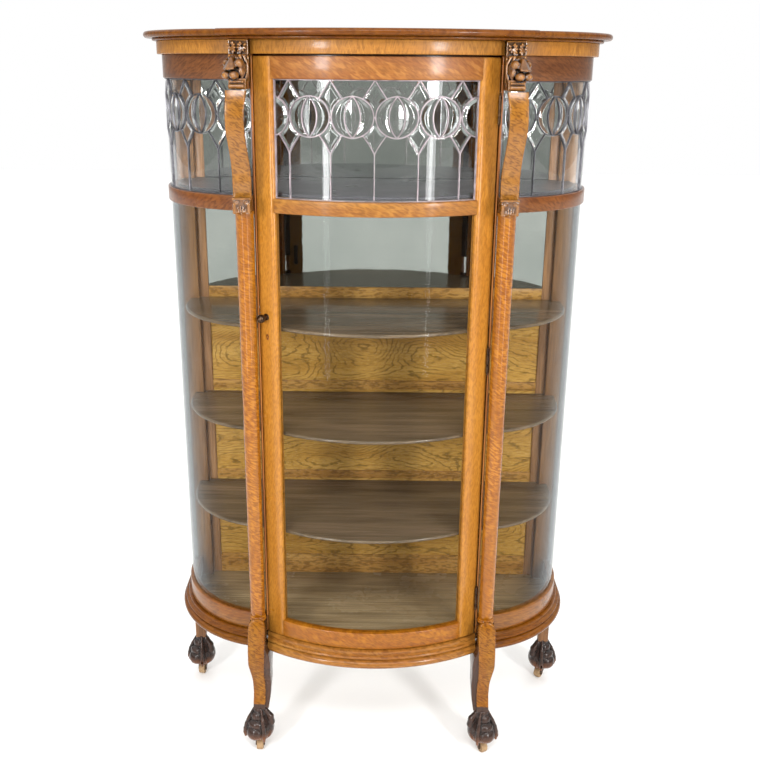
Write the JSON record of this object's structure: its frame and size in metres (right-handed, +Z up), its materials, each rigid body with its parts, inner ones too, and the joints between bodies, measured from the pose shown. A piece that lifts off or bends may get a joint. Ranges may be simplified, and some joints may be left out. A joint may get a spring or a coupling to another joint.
{
  "type": "china cabinet",
  "caption": "Tall oak china cabinet with a bowed glass door, quarter-round glass sides, a leaded glass frieze, columns, carved lion corbels and claw feet on casters.",
  "frame": {"origin": "on the floor, midway across the width and midway between the back and the front of the top board", "axes": "+X to the right as seen from the front, +Y towards the back, +Z up; the bowed door faces -Y"},
  "size_m": [1.093, 0.478, 1.78],
  "materials": {
    "oak": "clear-lacquered quarter-sawn golden oak",
    "dark_oak": "dark glossy stained oak",
    "tiger_oak": "glossy orange oak with strong ray figure",
    "clear_glass": "clear curved sheet",
    "bevelled_glass": "clear bevelled pieces",
    "lead_came": "dull grey lead came",
    "mirror_glass": "silvered plate",
    "bronzed_hardware": "dark bronzed brass",
    "brass_pin": "dull brass",
    "wheel_wood": "bare turned maple"
  },
  "bodies": {
    "cabinet": {"top_board": "oak", "bed_moulding": "oak", "frieze_left": "oak", "frieze_center": "oak", "frieze_right": "oak", "side_top_rail_left": "dark_oak", "side_top_rail_right": "dark_oak", "side_mid_rail_left": "dark_oak", "side_mid_rail_right": "dark_oak", "side_bottom_rail_left": "oak", "side_bottom_rail_right": "oak", "base_moulding_left": "oak", "base_moulding_center": "oak", "base_moulding_right": "oak", "bottom_board": "dark_oak", "back_frame": "oak", "back_panels": "oak", "back_mirrors": "mirror_glass", "rear_leg_left": "dark_oak", "rear_leg_right": "dark_oak", "front_leg_left": "dark_oak", "front_leg_right": "dark_oak", "front_post_left": "oak", "front_post_right": "oak", "column_left": "tiger_oak", "column_right": "tiger_oak", "corbel_left": "oak", "corbel_right": "oak", "lion_mask_left": "dark_oak", "lion_mask_right": "dark_oak", "shelf_top": "dark_oak", "shelf_upper": "dark_oak", "shelf_middle": "dark_oak", "shelf_lower": "dark_oak", "shelf_pins": "brass_pin", "side_glass_left": "clear_glass", "side_glass_right": "clear_glass", "side_leaded_glass_left": "bevelled_glass", "side_leaded_glass_right": "bevelled_glass", "side_lead_cames": "lead_came", "frame_hinge_leaves": "bronzed_hardware", "caster_sockets": "bronzed_hardware"},
    "door": {"door_stile_left": "oak", "door_stile_right": "oak", "door_rail_top": "oak", "door_rail_middle": "oak", "door_rail_bottom": "oak", "door_glass": "clear_glass", "door_leaded_glass": "bevelled_glass", "door_lead_cames": "lead_came", "door_hinge_leaves": "bronzed_hardware"},
    "knob": {"door_knob": "bronzed_hardware"},
    "caster_fl": {"caster_fork_fl": "bronzed_hardware"},
    "wheel_fl": {"caster_wheel_fl": "wheel_wood"},
    "caster_fr": {"caster_fork_fr": "bronzed_hardware"},
    "wheel_fr": {"caster_wheel_fr": "wheel_wood"},
    "caster_rl": {"caster_fork_rl": "bronzed_hardware"},
    "wheel_rl": {"caster_wheel_rl": "wheel_wood"},
    "caster_rr": {"caster_fork_rr": "bronzed_hardware"},
    "wheel_rr": {"caster_wheel_rr": "wheel_wood"}
  },
  "joints": [
    {"name": "door_hinge", "type": "hinge", "parent": "cabinet", "child": "door", "pos_m": [0.2631, -0.1224, 1.0545], "axis": [0, 0, 1], "range_deg": [0, 62]},
    {"name": "knob_turn", "type": "hinge", "parent": "door", "child": "knob", "pos_m": [-0.22596, -0.08855, 1.161], "axis": [-0.5135, -0.8581, 0], "range_deg": [0, 90]},
    {"name": "swivel_fl", "type": "hinge", "parent": "cabinet", "child": "caster_fl", "pos_m": [-0.29, -0.157, 0.05], "axis": [0, 0, 1], "continuous": true},
    {"name": "roll_fl", "type": "hinge", "parent": "caster_fl", "child": "wheel_fl", "pos_m": [-0.29, -0.165, 0.014], "axis": [1, 0, 0], "continuous": true},
    {"name": "swivel_fr", "type": "hinge", "parent": "cabinet", "child": "caster_fr", "pos_m": [0.29, -0.157, 0.05], "axis": [0, 0, 1], "continuous": true},
    {"name": "roll_fr", "type": "hinge", "parent": "caster_fr", "child": "wheel_fr", "pos_m": [0.29376, -0.16406, 0.014], "axis": [0.8829, 0.4695, 0], "continuous": true},
    {"name": "swivel_rl", "type": "hinge", "parent": "cabinet", "child": "caster_rl", "pos_m": [-0.498, 0.169, 0.05], "axis": [0, 0, 1], "continuous": true},
    {"name": "roll_rl", "type": "hinge", "parent": "caster_rl", "child": "wheel_rl", "pos_m": [-0.49911, 0.16108, 0.014], "axis": [0.9903, -0.1392, 0], "continuous": true},
    {"name": "swivel_rr", "type": "hinge", "parent": "cabinet", "child": "caster_rr", "pos_m": [0.498, 0.169, 0.05], "axis": [0, 0, 1], "continuous": true},
    {"name": "roll_rr", "type": "hinge", "parent": "caster_rr", "child": "wheel_rr", "pos_m": [0.49265, 0.16306, 0.014], "axis": [0.7431, -0.6691, 0], "continuous": true}
  ]
}
